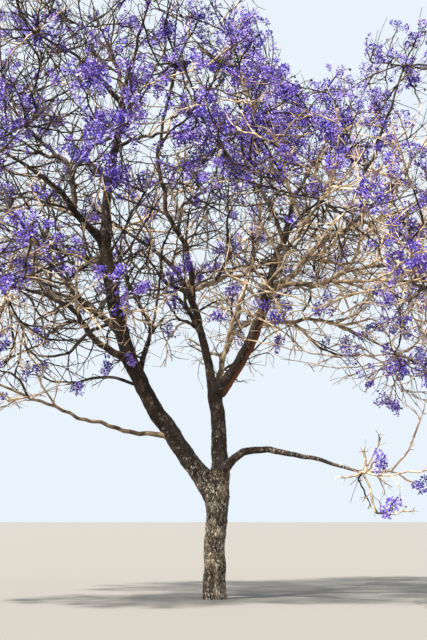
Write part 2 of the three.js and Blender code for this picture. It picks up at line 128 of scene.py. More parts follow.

# Limbs as in the source: carrier, share of its length, length and thickness in millimetres, rise and turn
# of the heading in degrees, and for those that carry a spray its reach in millimetres, how much of it is
# in blossom and what share of its wood gets the pale bark of painted sunlight, the rest the dark brown
# bark of painted shade.
LIMBS = {
    "left": ("trunk", 0.93, 6000, (400, 250), (53, 55, 65, 75, 81), (187, 189, 202)),
    "left_skirt": ("left", 0.255, 3580, (110, 50),
        (5, 13, 18, 20), (193, 203, 207, 204), 1600, 0.3, 0.5),
    "left_lower": ("left", 0.56, 3100, (170, 60),
        (14, 40, 33, 9, 2), (212, 230, 246, 237), 1750, 0.5, 0.45),
    "left_back": ("left", 0.65, 3700, (170, 60), (37, 33, 43, 37), (140, 130), 1900, 0.7, 0.35),
    "low_front": ("left", 0.75, 1900, (80, 45), (0, -3), (281,), 1000, 0.15, 0.3),
    "left_level": ("left", 0.9, 2900, (150, 60), (20, 21, 25), (156,), 1800, 0.55, 0.2),
    "left_upper": ("left", 0.985, 2600, (190, 60), (33, 47, 30, 16), (216, 225), 1800, 0.75, 0.12),
    "left_riser": ("left_upper", 0.37, 3600, (130, 60),
        (66, 53, 34, 41, 46), (96, 121, 140, 140, 141), 1900, 1, 0.12),
    "left_front": ("left_riser", 0.25, 2200, (90, 50), (10, 5, -2), (291, 297), 1700, 0.95, 0.2),
    "leader": ("left", 0.985, 3490, (210, 140), (87, 80, 75, 76), (60, 49, 48, 72)),
    "leader_level": ("leader", 0.62, 2450, (90, 50), (-3, -8, -14), (304,), 1750, 0.9, 0.2),
    "leader_left": ("leader", 0.93, 2070, (120, 50),
        (31, 33, 19, 9), (218, 231, 229, 227), 1800, 0.65, 0.1),
    "leader_back": ("leader", 0.98, 2900, (120, 50),
        (55, 49, 46, 40), (108, 109, 116, 130), 1700, 0.45, 0.1),
    "leader_top": ("leader", 0.98, 1500, (110, 55), (64, 58, 52), (300,), 1700, 0.6, 0.1),
    "right": ("trunk", 0.95, 2200, (390, 280), (78, 80, 78, 75), (60, 105, 122)),
    "right_skirt": ("right", 0.17, 3200, (200, 60),
        (42, -4, -10, -16), (315, 323, 322, 328), 1300, 0.15, 0.6),
    "back": ("right", 0.9, 5060, (160, 60), (53, 40, 37, 40, 42), (81, 76, 75, 80, 78), 2000, 0.6, 0.6),
    "right_fork": ("right", 0.985, 2600, (290, 200), (44, 61, 58, 68, 78), (349, 340, 334, 335, 326)),
    "right_drooping": ("right_fork", 0.68, 2720, (95, 45),
        (5, -3, -21, -29), (348, 338, 331, 329), 1450, 0.95, 0.8),
    "right_level": ("right_fork", 0.95, 3050, (125, 60),
        (10, -9, -5, -3, -8), (321, 318, 310, 316, 325), 1700, 0.85, 0.75),
    "right_outer": ("right_level", 0.5, 2650, (95, 50), (28, 9, 4), (29, 39, 41), 1800, 0.85, 0.65),
    "right_rising": ("right_fork", 0.96, 5610, (140, 60),
        (31, 49, 26, 25, 19, 29), (30, 49, 40, 44, 38, 37), 1800, 0.95, 0.5),
    "right_tall": ("right_rising", 0.655, 3240, (95, 50),
        (78, 63, 66, 66), (242, 335, 326, 319), 1450, 0.75, 0.3),
    "high_front": ("right_fork", 0.95, 2500, (100, 50), (32, 26, 20), (290,), 1800, 0.4, 0.5),
    "right_top": ("right_fork", 0.98, 2230, (150, 100), (70, 73, 68, 71, 77), (25, 28, 21, 24, 38)),
    "top_front": ("right_top", 0.98, 1900, (90, 50), (25, 20), (246,), 1900, 1.8, 0.15),
    "top_back": ("right_top", 0.98, 2300, (90, 50), (47, 45), (55, 62), 1800, 1.9, 0.15),
    "middle": ("right", 0.985, 4450, (210, 80), (73, 72, 63, 50, 34), (130, 134, 145), 1800, 0.55, 0.35),
    "middle_riser": ("middle", 0.5, 4700, (140, 60),
        (77, 53, 76, 70, 76), (261, 194, 240, 334), 2000, 1.2, 0.15),
    "middle_back": ("middle_riser", 0.34, 3150, (90, 50), (44, 32, 20), (84, 66), 1900, 0.3, 0.4),
    "crossing": ("middle", 0.56, 3800, (110, 55), (26, 16, 31, 36), (34, 48), 1900, 0.35, 0.6),
    "top_middle": ("right_top", 0.55, 2500, (95, 50), (68, 60, 52), (165, 115, 95), 1750, 1.5, 0.1),
}
TRUNK = (2200, (455, 450), (90, 88, 87, 88), (0,), 9)
BOUGH_ACROSS = 180


# Small tools


def linear(colour):
    """A hex sRGB colour as linear red, green, blue and 1: below 0.04045 divided by 12.92, and above it
    ((c + 0.055) / 1.055) to the power 2.4."""
    parts = [int(colour[i : i + 2], 16) / 255 for i in (1, 3, 5)]
    return tuple(c / 12.92 if c <= 0.04045 else ((c + 0.055) / 1.055) ** 2.4 for c in parts) + (1.0,)


def unit(vectors):
    """Each vector over its length."""
    return vectors / np.maximum(np.linalg.norm(vectors, axis=-1, keepdims=True), 1e-12)


def across(towards, before):
    """Two directions across each heading: the one before less its part along the heading, and the cross
    product of that one and the heading."""
    side = unit(before - (before * towards).sum(-1, keepdims=True) * towards)
    return side, np.cross(side, towards)


def field(u, v, cells_u, cells_v, seed):
    """Smooth noise from 0 to 1 that closes round v: random numbers at the corners of a grid of cells, and
    between them the mean weighted by 3f^2 - 2f^3 of the way f across the cell, in u and in v."""
    corners = np.random.default_rng(seed).random((cells_u + 2, cells_v))
    x, y = np.clip(u, 0, 1) * cells_u, (v % 1.0) * cells_v
    i, j = np.floor(x).astype(int), np.floor(y).astype(int) % cells_v
    f, g = x - np.floor(x), y - np.floor(y)
    f, g = f * f * (3 - 2 * f), g * g * (3 - 2 * g)
    k = (j + 1) % cells_v
    low = corners[i, j] * (1 - g) + corners[i, k] * g
    return low * (1 - f) + (corners[i + 1, j] * (1 - g) + corners[i + 1, k] * g) * f


def make_piece(name, points, triangles, material, body="root", smooth=True, attributes=None):
    """A mesh object from an array of points and one of triangles, riding on a body."""
    mesh = bpy.data.meshes.new(name)
    mesh.vertices.add(len(points))
    mesh.vertices.foreach_set("co", np.ascontiguousarray(points, np.float32).ravel())
    mesh.loops.add(3 * len(triangles))
    mesh.loops.foreach_set("vertex_index", np.ascontiguousarray(triangles, np.int32).ravel())
    mesh.polygons.add(len(triangles))
    mesh.polygons.foreach_set("loop_start", np.arange(0, 3 * len(triangles), 3, dtype=np.int32))
    mesh.polygons.foreach_set("use_smooth", np.full(len(triangles), smooth))
    for label, values in (attributes or {}).items():
        attribute = mesh.attributes.new(label, "FLOAT", "POINT")
        attribute.data.foreach_set("value", values.astype(np.float32).ravel())
    mesh.update(calc_edges=True)
    mesh.materials.append(material)
    piece = bpy.data.objects.new(name, mesh)
    bpy.context.scene.collection.objects.link(piece)
    if body:
        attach(piece, body)
    return piece


# The limbs' courses


def along(values, t):
    """The value of a list at shares t of the way, where its entries stand for even stretches of it."""
    values = np.asarray(values, float)
    place = np.clip(np.asarray(t) * len(values) - 0.5, 0, len(values) - 1)
    low = np.floor(place).astype(int)
    high = np.minimum(low + 1, len(values) - 1)
    return values[low] + (values[high] - values[low]) * (place - low)


class Limb:
    """One limb or the trunk: its heading and girth along its length, and the source's stations."""

    def __init__(self, name, length, thickness, rise, turn, sections=None):
        self.name, self.length, self.rise, self.turn = name, length / 1000, rise, turn
        self.foot, self.tip = thickness[0] / 2000, thickness[1] / 2000
        self.thick = thickness[0] >= BOUGH_ACROSS
        self.sections = sections or max(FEWEST_SECTIONS, round(self.length / SECTION))
        self.carrier, self.reach, self.bloom, self.bleached, self.collar = None, 0, 0, 0, 0
        self.first, self.rings, self.step = 0, 0, 0

    def heading(self, t):
        """Cosines and sines of the rise above level and of the turn from +X."""
        rise, turn = np.radians(along(self.rise, t)), np.radians(along(self.turn, t))
        return np.stack([np.cos(rise) * np.cos(turn), np.cos(rise) * np.sin(turn), np.sin(rise)], -1)

    def girth(self, t):
        """Radius: from foot to tip by a power of the way, times a collar that fades from the foot as a bell
        curve. The trunk's is drawn in between its ends by half a sine wave, and its flare fades with height
        as an exponential."""
        t = np.asarray(t, float)
        if self.carrier is None:
            waist = TRUNK_WAIST * self.foot * np.sin(np.pi * t)
            radius = self.foot + (self.tip - self.foot) * t - waist
            return radius * (1 + ROOT_FLARE * np.exp(-t * self.length / ROOT_FLARE_HEIGHT))
        swell = 1 + COLLAR_SWELL * np.exp(-((t * self.length / self.collar) ** 2))
        return (self.foot + (self.tip - self.foot) * t**TAPER_POWER) * swell

    def walk(self, steps):
        """Places along the course: the sum of even steps, each along the heading at its middle."""
        middle = (np.arange(steps) + 0.5) / steps
        return self.start + np.vstack([np.zeros(3), np.cumsum(self.heading(middle), 0) * self.length / steps])

    def settle(self, start):
        """Puts the foot at the start and keeps the source's stations."""
        self.start = start
        t = np.linspace(0, 1, self.sections + 1)
        self.points = self.walk(self.sections * 6)[::6]
        self.towards, self.radii = self.heading(t), self.girth(t)

    def at(self, t):
        """Place, heading and radius between two stations."""
        place = min(max(t, 0), 1) * self.sections
        low = min(int(place), self.sections - 1)
        f = place - low
        mix = [a[low] * (1 - f) + a[low + 1] * f for a in (self.points, self.towards, self.radii)]
        return mix[0], unit(mix[1]), mix[2]


def settle_wood():
    """The trunk and every limb, each started on the middle line of its carrier."""
    trunk = Limb("trunk", *TRUNK)
    trunk.settle(np.zeros(3))
    wood = {"trunk": trunk}
    for key, (carrier, at, length, thickness, rise, turn, *spray) in LIMBS.items():
        limb = Limb(key, length, thickness, rise, turn)
        start, _, radius = wood[carrier].at(at)
        limb.carrier, limb.collar = wood[carrier], radius * COLLAR_REACH + limb.foot
        limb.settle(start)
        if spray:
            limb.reach, limb.bloom, limb.bleached = spray[0] / 1000, spray[1], spray[2]
        wood[key] = limb
    return wood


# Bark over the courses

RING_STEP, BARK_CELL = 0.020, 0.0135  # grid of the thick boughs' bark, along and round
LIMB_RING_STEP, LIMB_CELL = 0.026, 0.0165
CROTCH_REACH = 0.6  # of the thinner foot: how near two surfaces swell towards each other
# Painted bounce light: the right fork's side that faces outwards and down is tinted orange-brown as if lit
# from the warm ground
GROUND_BOUNCE_LIMB, GROUND_BOUNCE_SIDE = "right_fork", (0.75, -0.1, -0.65)
WAVES = ((1.15, 1.0), (0.62, 0.55), (0.34, 0.3))  # length in metres and share of the wander of each wave
BOUGH_WANDER, LIMB_WANDER = 0.012, 0.026
HIDDEN_SHARE, HIDDEN_MORE = 1.3, 0.05  # how far inside its carrier a limb begins, by its radius and more
CORNER_SHARE = 0.75  # of the carrier's radius, over which the bend out of it is rounded
ANY_SIDE = (1, 0, 0.01)  # a direction that no course has, to start those across it
# Sizes in metres, along and round, of what the bark shows
SWELLINGS, KNOTS, WARP = (0.38, 0.30), (0.16, 0.14), (0.12, 0.10)
PLATES, CRACKS, GRAIN = (0.15, 0.034), (0.055, 0.08), (0.045, 0.028)
SWELLING_HEIGHT, KNOT_HEIGHT = 0.09, 0.25  # shares of the radius
FISSURE_DEPTH, GRAIN_HEIGHT = 0.009, 0.008
FISSURE_WIDTH, CRACK_WIDTH = 0.24, 0.13  # shares of a plate


def smoothed(path, corner, half):
    """The path with the corner at one index rounded: each point moves to the mean of those within half a
    width h, taken twice over, by the share exp(-(n / 1.8 h)^2), for n points between it and the corner."""
    padded = np.concatenate([np.repeat(path[:1], half, 0), path, np.repeat(path[-1:], half, 0)])
    for _ in range(2):
        sums = np.cumsum(np.vstack([np.zeros(3), padded]), 0)
        mean = (sums[2 * half + 1 :] - sums[: -2 * half - 1]) / (2 * half + 1)
        padded = np.concatenate([padded[:half], mean, padded[-half:]])
    share = np.exp(-(((np.arange(len(path)) - corner) / (1.8 * half)) ** 2))[:, None]
    return path * (1 - share) + padded[half:-half] * share


def strayed(limb, t, wander, dice):
    """The source's course, moved across itself by three sine waves of two random phases each, that fade to
    nothing at both ends by the power 0.7 of half a sine wave."""
    path = limb.walk(limb.rings)
    side, up = across(limb.heading(t), np.tile(ANY_SIDE, (len(t), 1)))
    fade = np.clip(np.sin(np.pi * t), 0, 1) ** 0.7 * wander
    for wave, part in WAVES:
        turns = 2 * np.pi * (t * max(limb.length / wave, 0.5) + dice.random((2, 1)))
        path += (side * np.sin(turns[0])[:, None] + up * np.sin(turns[1])[:, None]) * (fade * part)[:, None]
    return path


def begun_inside(limb, path, radii, t):
    """The trail with a stretch before its foot that lies inside the carrier, along the carrier's own line,
    and a rounded corner where it bends out. It is never thicker there than the carrier."""
    carrier, at = limb.carrier, LIMBS[limb.name][1]
    place, _, radius = carrier.at(at)
    limb.first = max(4, round((HIDDEN_SHARE * radius + HIDDEN_MORE) / limb.step))
    back = np.linspace(0, 1, limb.first, endpoint=False)
    places = carrier.first + at * carrier.rings - np.arange(limb.first, 0, -1) * limb.step / carrier.step
    low = np.clip(np.floor(places).astype(int), 0, len(carrier.path) - 2)
    share = np.clip(places - low, 0, 1)[:, None]
    inside = carrier.path[low] * (1 - share) + carrier.path[low + 1] * share
    radii = np.minimum(radii, 1.02 * radius + 0.35 * t * limb.length)
    hidden = min(radii[0], 0.98 * radius) * np.linspace(0.5, 1, limb.first, endpoint=False) ** 0.7
    path = np.concatenate([inside + (path[0] - place) * back[:, None], path])
    path = smoothed(path, limb.first, max(2, round(CORNER_SHARE * radius / limb.step)))
    return path, np.concatenate([hidden, radii])


def lay_trail(limb, dice):
    """The middle line and radii that the bark follows: the strayed course, begun inside the carrier. A limb
    that carries a spray goes on to the stem's fork, and another one ends in a dome, its radius times the
    root of 1 - x^2, for x the share of the dome's length passed."""
    coarse = limb.thick or limb.carrier is None
    limb.step = RING_STEP if coarse else LIMB_RING_STEP
    limb.rings = max(12, round(limb.length / limb.step))
    t = np.linspace(0, 1, limb.rings + 1)
    path, radii = strayed(limb, t, BOUGH_WANDER if coarse else LIMB_WANDER, dice), limb.girth(t)
    if not limb.reach:
        dome = np.clip((t - 1) * limb.length / (0.8 * radii[-1]) + 1, 0, 1)
        radii = radii * np.sqrt(np.maximum(1 - dome**2, 0.02))
    if limb.carrier:
        path, radii = begun_inside(limb, path, radii, t)
    if limb.reach:
        more = round(STEM_SHARE * limb.reach / limb.step)
        ahead = np.linspace(0, 1, more + 1)[1:]
        stem = STEM_SHARE * limb.reach * limb.towards[-1]
        path = np.concatenate([path, limb.points[-1] + ahead[:, None] * stem])
        radii = np.concatenate([radii, limb.tip * (1 - 0.2 * ahead)])
    limb.path, limb.spread = path, radii


def bark_surface(limb, seed):
    """Points of a limb's surface on a grid of rings by sides, with the depth of its fissures: the place on
    its middle line, plus the spread times the cosine and sine of the angle along two directions across. The
    spread is the radius times 1, a share of the low swellings and a share of the knots, less the fissures'
    depth and plus the grain's height, both shallower on thin limbs. Fissures and cracks are bell curves of
    the distance to the lines where noise is one half. Root lobes are a cosine round the trunk."""
    centre, radius = limb.path, limb.spread
    towards = unit(np.gradient(centre, axis=0))
    widest = float(np.percentile(radius, 80))
    cell = BARK_CELL if limb.thick or limb.carrier is None else LIMB_CELL
    sides = int(np.clip(round(2 * np.pi * widest / cell), 10, 120))
    side, up = np.zeros_like(centre), np.zeros_like(centre)
    before = np.array(ANY_SIDE)
    for ring in range(len(centre)):
        side[ring], up[ring] = across(towards[ring], before)
        before = side[ring]
    long_way, round_way = len(centre) * limb.step, 2 * np.pi * widest
    T, A = np.meshgrid(np.linspace(0, 1, len(centre)), np.arange(sides) / sides, indexing="ij")

    def noise(size, number, lift_u=0.0, lift_v=0.0):
        cells_u, cells_v = max(3, round(long_way / size[0])), max(3, round(round_way / size[1]))
        return field(T + lift_u, A + lift_v, cells_u, cells_v, seed + number)

    swelling = noise(SWELLINGS, 0) - 0.5
    knots = np.clip(noise(KNOTS, 5) - 0.72, 0, 1)
    warp = noise(WARP, 1) - 0.5
    plates = np.abs(2 * noise(PLATES, 2, lift_v=warp * 0.05 / max(round_way, 0.2)) - 1)
    cracks = np.abs(2 * noise(CRACKS, 3, lift_u=warp * 0.03 / long_way) - 1)
    grain = noise(GRAIN, 4) - 0.5
    fissure = np.exp(-((plates / FISSURE_WIDTH) ** 2)) * 0.8 + np.exp(-((cracks / CRACK_WIDTH) ** 2)) * 0.4
    coarse = np.clip(radius[:, None] / 0.2, 0.1, 1.0)
    spread = radius[:, None] * (1 + SWELLING_HEIGHT * swelling + KNOT_HEIGHT * knots)
    spread -= coarse * (FISSURE_DEPTH * fissure - GRAIN_HEIGHT * grain)
    if limb.carrier is None:
        lobes = ROOT_LOBE_DEPTH * np.exp(-centre[:, 2:3] / ROOT_FLARE_HEIGHT)
        spread = spread * (1 + 2.0 * lobes * np.cos(ROOT_LOBES * 2 * np.pi * A))
    turn = 2 * np.pi * A[..., None]
    outward = side[:, None] * np.cos(turn) + up[:, None] * np.sin(turn)
    return centre[:, None] + outward * spread[..., None], outward, np.clip(fissure, 0, 1.2)


def distance_to(limb, points):
    """Distance from points to a limb's surface: to the nearest place on its middle line, thinned to every
    sixth point, less the radius there."""
    path, radii = limb.path[::6], limb.spread[::6]
    a, way = path[:-1], np.diff(path, axis=0)
    t = np.clip(((points[:, None] - a) * way).sum(-1) / (way * way).sum(-1), 0, 1)
    near = np.linalg.norm(points[:, None] - a - t[..., None] * way, axis=-1)
    return (near - radii[:-1] - t * np.diff(radii)).min(1)


def fillet(limb, surface, outward):
    """Where a limb runs into another it swells by k/4 (1 - d/k)^2, for d the distance to the other within
    k, so that both meet in a rounded crotch."""
    flat, out = surface.reshape(-1, 3), outward.reshape(-1, 3)
    for other in wood.values():
        beside = other.carrier is limb.carrier is not None
        if (beside or other is limb.carrier or other.carrier is limb) and other is not limb:
            k = CROTCH_REACH * min(limb.foot, other.foot)
            low, high = other.path.min(0) - other.foot * 2 - k, other.path.max(0) + other.foot * 2 + k
            near = np.flatnonzero(((flat > low) & (flat < high)).all(1))
            d = np.abs(distance_to(other, flat[near])) if len(near) else np.zeros(0)
            flat[near] += out[near] * (k / 4 * np.clip(1 - d / k, 0, 1) ** 2)[:, None]
    return flat.reshape(surface.shape)


def grid_triangles(rings, sides):
    """Two triangles for each cell of a grid that closes round its sides, facing outwards."""
    i, j = np.meshgrid(np.arange(rings), np.arange(sides), indexing="ij")
    a, b = i * sides + j, i * sides + (j + 1) % sides
    c, d = a + sides, b + sides
    return np.concatenate([np.stack([a, c, b], -1).reshape(-1, 3), np.stack([b, c, d], -1).reshape(-1, 3)])


def caps(first, last, sides, foot, tip):
    """Fans that close the first and the last ring to a point each."""
    j = np.arange(sides)
    ahead = (j + 1) % sides
    foot_fan = np.stack([first + j, first + ahead, np.full(sides, foot)], -1)
    tip_fan = np.stack([last + ahead, last + j, np.full(sides, tip)], -1)
    return [foot_fan, tip_fan]


def bark_mesh(limbs):
    """The surfaces of several limbs with closed ends, as arrays of points and triangles, with the depth of
    the fissures and a painted bounce light from the ground: only on the right fork, by how far it faces
    outwards and down."""
    points, triangles, fissures, painted_ground_bounces, count = [], [], [], [], 0
    for limb in limbs:
        surface, outward, fissure = bark_surface(limb, 100 + 10 * list(wood).index(limb.name))
        surface = fillet(limb, surface, outward)
        rings, sides = surface.shape[0] - 1, surface.shape[1]
        if limb.carrier is None:
            surface[0, :, 2] = 0
        ends = (rings + 1) * sides
        tip = surface[-1].mean(0) + limb.heading(1.0) * limb.spread[-1] * 0.4
        points += [surface.reshape(-1, 3), surface[:1].mean(1), tip[None]]
        shell = [grid_triangles(rings, sides), *caps(0, rings * sides, sides, ends, ends + 1)]
        triangles.append(np.concatenate(shell) + count)
        way = np.clip(4 * np.sin(np.pi * np.linspace(0, 1, rings + 1)) - 1.2, 0, 1)[:, None]
        # Painted bounce light from the ground, strongest where the surface faces outwards and down
        painted_ground_bounce = np.clip(1.6 * (outward @ GROUND_BOUNCE_SIDE) - 0.5, 0, 0.7) * way * (limb.name == GROUND_BOUNCE_LIMB)
        fissures += [fissure.ravel(), [0.3, 0.3]]
        painted_ground_bounces += [painted_ground_bounce.ravel(), [0, 0]]
        count += ends + 2
    attributes = {"fissure": np.concatenate(fissures), "painted_ground_bounce": np.concatenate(painted_ground_bounces)}
    return np.concatenate(points), np.concatenate(triangles), attributes


# The source's rule for a spray


def draws_from(seed):
    """The source's row of numbers from 0 to 1, its first four left out."""
    state = seed & 0xFFFFFFFF
    for _ in range(4):
        state = (1664525 * state + 1013904223) & 0xFFFFFFFF
    while True:
        state = (1664525 * state + 1013904223) & 0xFFFFFFFF
        yield (state >> 8) / 2**24


class Spray:
    """A spray's space and stem, laid out from its limb's tip."""

    def __init__(self, limb, index):
        self.heading, self.radius = limb.towards[-1], 0.9 * limb.radii[-1]
        self.limb, self.reach, self.bloom, self.index = limb, limb.reach, limb.bloom, index
        self.middle = limb.points[-1] + self.heading * SPACE_FORWARD * self.reach
        self.foot = limb.points[-1] + self.heading * CLEARANCE
        self.fork = self.foot + self.heading * STEM_SHARE * self.reach
        self.draws = draws_from(7919 * (index + 3))


class Stretches:
    """Every stretch between two stations of the limbs, and each spray's stem with its spray's number."""

    def __init__(self, limbs, stems):
        stem_radii = [[stem.radius] for stem in stems]
        starts = [limb.points[:-1] for limb in limbs] + [stem.foot[None] for stem in stems]
        ends = [limb.points[1:] for limb in limbs] + [stem.fork[None] for stem in stems]
        self.start = np.concatenate(starts)
        self.way = np.concatenate(ends) - self.start
        self.square = (self.way**2).sum(-1)
        self.radius = np.concatenate([limb.radii[:-1] for limb in limbs] + stem_radii)
        self.widening = np.concatenate([limb.radii[1:] for limb in limbs] + stem_radii) - self.radius
        self.owner = np.concatenate([np.full(len(self.way) - len(stems), -2), np.arange(len(stems))])

    def distance(self, points, leave_out=-1):
        """Distance from points to the nearest limb, or stem of another spray: to the nearest place on each
        stretch, less the radius there."""
        t = ((points[:, None] - self.start) * self.way).sum(-1) / self.square
        t = np.clip(t, 0, 1)
        near = np.linalg.norm(points[:, None] - self.start - t[..., None] * self.way, axis=-1)
        clear = near - self.radius - t * self.widening
        return np.where(self.owner == leave_out, 99.0, clear).min(1)


def free_places(points, radius, spray):
    """True for each ball in the spray's own space: inside its reach, nearer to its middle than to any
    other, and clear of the limbs and of the other sprays' stems."""
    own = np.linalg.norm(points - spray.middle, axis=-1) - spray.reach
    margin = radius + SPACE_MARGIN
    free = own <= -margin
    for other in sprays:
        if other is not spray:
            free &= np.linalg.norm(points - other.middle, axis=-1) - other.reach >= own + 2 * margin
    return free & (stretches.distance(points, spray.index) >= radius + LIMB_MARGIN)


def in_ball(values):
    """Points of a ball of radius 1 from rows of height, turn and distance out."""
    height, turn, out = 2 * values[:, 0] - 1, 2 * np.pi * values[:, 1], values[:, 2] ** 0.3
    level = np.sqrt(1 - height * height)
    return np.stack([level * np.cos(turn), level * np.sin(turn), height], -1) * out[:, None]


def tuft_ends(spray):
    """The ends of the source's twigs, nearest to the stem's foot first: free places, each at least the
    spacing from those taken before it."""
    values = np.array([next(spray.draws) for _ in range(3 * TUFT_TRIES)]).reshape(-1, 3)
    points = spray.middle + in_ball(values) * spray.reach
    free = free_places(points, TUFT_WIDTH * spray.reach, spray)
    taken = []
    for point in points[free]:
        spaced = all(np.linalg.norm(point - other) >= TUFT_SPACING * spray.reach for other in taken)
        if spaced and len(taken) < MOST_TUFTS:
            taken.append(point)
    return sorted(taken, key=lambda end: np.linalg.norm(end - spray.foot))


class Growth:
    """All the twigs of the crown, after the limbs. Each has a row of stations, its kind, and the twig and
    station that it leaves, and a limb has its radii given. The places where others may fork are kept with
    their headings and the way from the limb."""

    def __init__(self, room=120000):
        self.rows, self.carriers, self.kinds, self.given, self.size = [], [], [], [], 0
        self.place, self.towards = np.zeros((room, 3)), np.zeros((room, 3))
        self.run, self.source = np.zeros(room), np.zeros((room, 2), int)

    def add(self, row, carrier, kind, run, keep, given=None):
        """Adds a twig, keeps some of its stations as places to fork, and gives its number."""
        steps = np.diff(row, axis=0)
        lengths = np.linalg.norm(steps, axis=-1)
        ways = unit(np.vstack([steps, steps[-1:]]))
        self.rows.append(row)
        self.carriers.append(carrier)
        self.kinds.append(kind)
        self.given.append(given)
        keep = np.asarray(keep, int)
        new = slice(self.size, self.size + len(keep))
        self.place[new], self.towards[new] = row[keep], ways[keep]
        self.run[new] = run + np.concatenate([[0], np.cumsum(lengths)])[keep]
        self.source[new, 0], self.source[new, 1] = len(self.rows) - 1, keep
        self.size += len(keep)
        return len(self.rows) - 1

    def cheapest(self, end, detour, turn_cost):
        """The fork of least cost: the way to the end, more where it turns back, and a share of the way
        from the limb so far."""
        way = end - self.place[: self.size]
        span = np.sqrt(np.einsum("ij,ij->i", way, way)) + 1e-6
        back = 1 - np.einsum("ij,ij->i", way, self.towards[: self.size]) / span
        return np.argmin(span * (1 + turn_cost * back) + detour * self.run[: self.size])


def arch(start, towards, end, stations, share=ARCH_SHARE, sag=0.0):
    """Stations of the curve (1-t)^2 start + 2t(1-t) bend + t^2 end, whose bend lies on the carrier's
    heading, raised by the sag."""
    t = np.linspace(0, 1, stations)[:, None]
    span = np.linalg.norm(end - start)
    bend = start + towards * span * share + np.array([0, 0, sag * span])
    return (1 - t) ** 2 * start + 2 * t * (1 - t) * bend + t**2 * end


def crooked(row, dice, stray):
    """The row with each station between its ends moved by a random share of its length."""
    shift = dice.normal(0, stray * np.linalg.norm(row[-1] - row[0]), row.shape)
    shift[[0, -1]] = 0
    return row + shift


def grow_tuft_twigs(growth, spray, stem, dice):
    """The source's twigs: each end joins the cheapest of a few forks from which its way is free at its
    quarters, a straight way, or an arch of three stations where it is long. They are drawn as finer
    arches. Gives the forks: place, heading and way from the limb."""
    forks = [(spray.fork, spray.heading, 0.0, stem)]
    for end in tuft_ends(spray):
        way = end - np.array([fork[0] for fork in forks])
        span = np.linalg.norm(way, axis=-1)
        back = 1 - (way * np.array([fork[1] for fork in forks])).sum(-1) / span
        cost = span * (1 + TURN_COST * back) + DETOUR_COST * np.array([fork[2] for fork in forks])
        for i in np.argsort(cost, kind="stable")[:FORKS_TRIED]:
            place, towards, run, source = forks[i]
            arched = span[i] > ARCHED_TWIG
            solid = arch(place, towards, end, 3) if arched else np.stack([place, end])
            t = np.array([0.25, 0.5, 0.75]) * (len(solid) - 1)
            low = np.minimum(t.astype(int), len(solid) - 2)
            checks = solid[low] + (solid[low + 1] - solid[low]) * (t - low)[:, None]
            if free_places(checks, 2 * TWIG_TIP, spray).all():
                bent = ARCH_SHARE if arched else SLIGHT_ARCH
                row = crooked(arch(place, towards, end, TWIG_STATIONS, bent), dice, TWIG_KINK)
                number = growth.add(row, source, "tuft", run, range(2, TWIG_STATIONS))
                forks.append((end, unit(solid[-1] - solid[-2]), run + span[i], (number, TWIG_STATIONS - 1)))
                break
    return [(place, towards, run) for place, towards, run, _ in forks]


# Finer twigs by the same rule


def spread_out(points, spacing, before):
    """Which points to keep, in turn, so that none is nearer than the spacing to one kept, or to one of
    those before: each is set against those in its own cell of a grid and in the cells around it."""
    everything = np.concatenate([before, points])
    cells = np.floor(everything / spacing).astype(int).tolist()
    around = [(i, j, k) for i in (-1, 0, 1) for j in (-1, 0, 1) for k in (-1, 0, 1)]
    kept, boxes = [], {}
    for number, (x, y, z) in enumerate(cells):
        others = [n for i, j, k in around for n in boxes.get((x + i, y + j, z + k), ())]
        given = number < len(before)
        apart = np.linalg.norm(everything[others] - everything[number], axis=-1)
        if given or not others or apart.min() >= spacing:
            boxes.setdefault((x, y, z), []).append(number)
            if not given:
                kept.append(number - len(before))
    return np.array(kept, int)


def in_open_sky(points, dice):
    """True for points that the photograph would show above the edge of the open sky: each is turned into
    pixels by the camera's tilt and focal length, and the edge runs straight between its corners, but for
    a random number at each point that makes it ragged."""
    across_view, level, above = (points - EYE).T
    ahead = level * math.cos(TILT) + above * math.sin(TILT)
    raised = above * math.cos(TILT) - level * math.sin(TILT)
    right = PHOTO_PX[0] / 2 + FOCAL_PX * across_view / ahead
    down = PHOTO_PX[1] / 2 - FOCAL_PX * raised / ahead
    edge = np.interp(right, *zip(*SKY_EDGE), left=-1e6, right=-1e6)
    return down < edge + dice.normal(SKY_EDGE_SHIFT, SKY_EDGE_RAGGED, len(points))


def in_crown(points, dice):
    """True for points of the crown: inside the solids' box, clear of the wood and of the open sky, and in
    a spray's space or near a limb. Below the lowest shoots, which are lower the further out they are, only
    well inside a spray's space."""
    clear = np.concatenate([stretches.distance(part) for part in np.array_split(points, 40)])
    near = np.stack([np.linalg.norm(points - spray.middle, axis=-1) - spray.reach for spray in sprays]).min(0)
    low, high = np.array(solid_box[0]) + BOX_MARGIN, np.array(solid_box[1]) - BOX_MARGIN
    lowest = LOWEST_SHOOT - SHOOT_FALL * np.hypot(points[:, 0], points[:, 1])
    inside = ((points > low) & (points < high)).all(1) & ~in_open_sky(points, dice)
    high_up = points[:, 2] > lowest
    in_a_spray = near < np.where(high_up, 0, -WELL_INSIDE)
    return inside & (clear > WOOD_MARGIN) & (in_a_spray | (clear < NEAR_WOOD) & high_up)


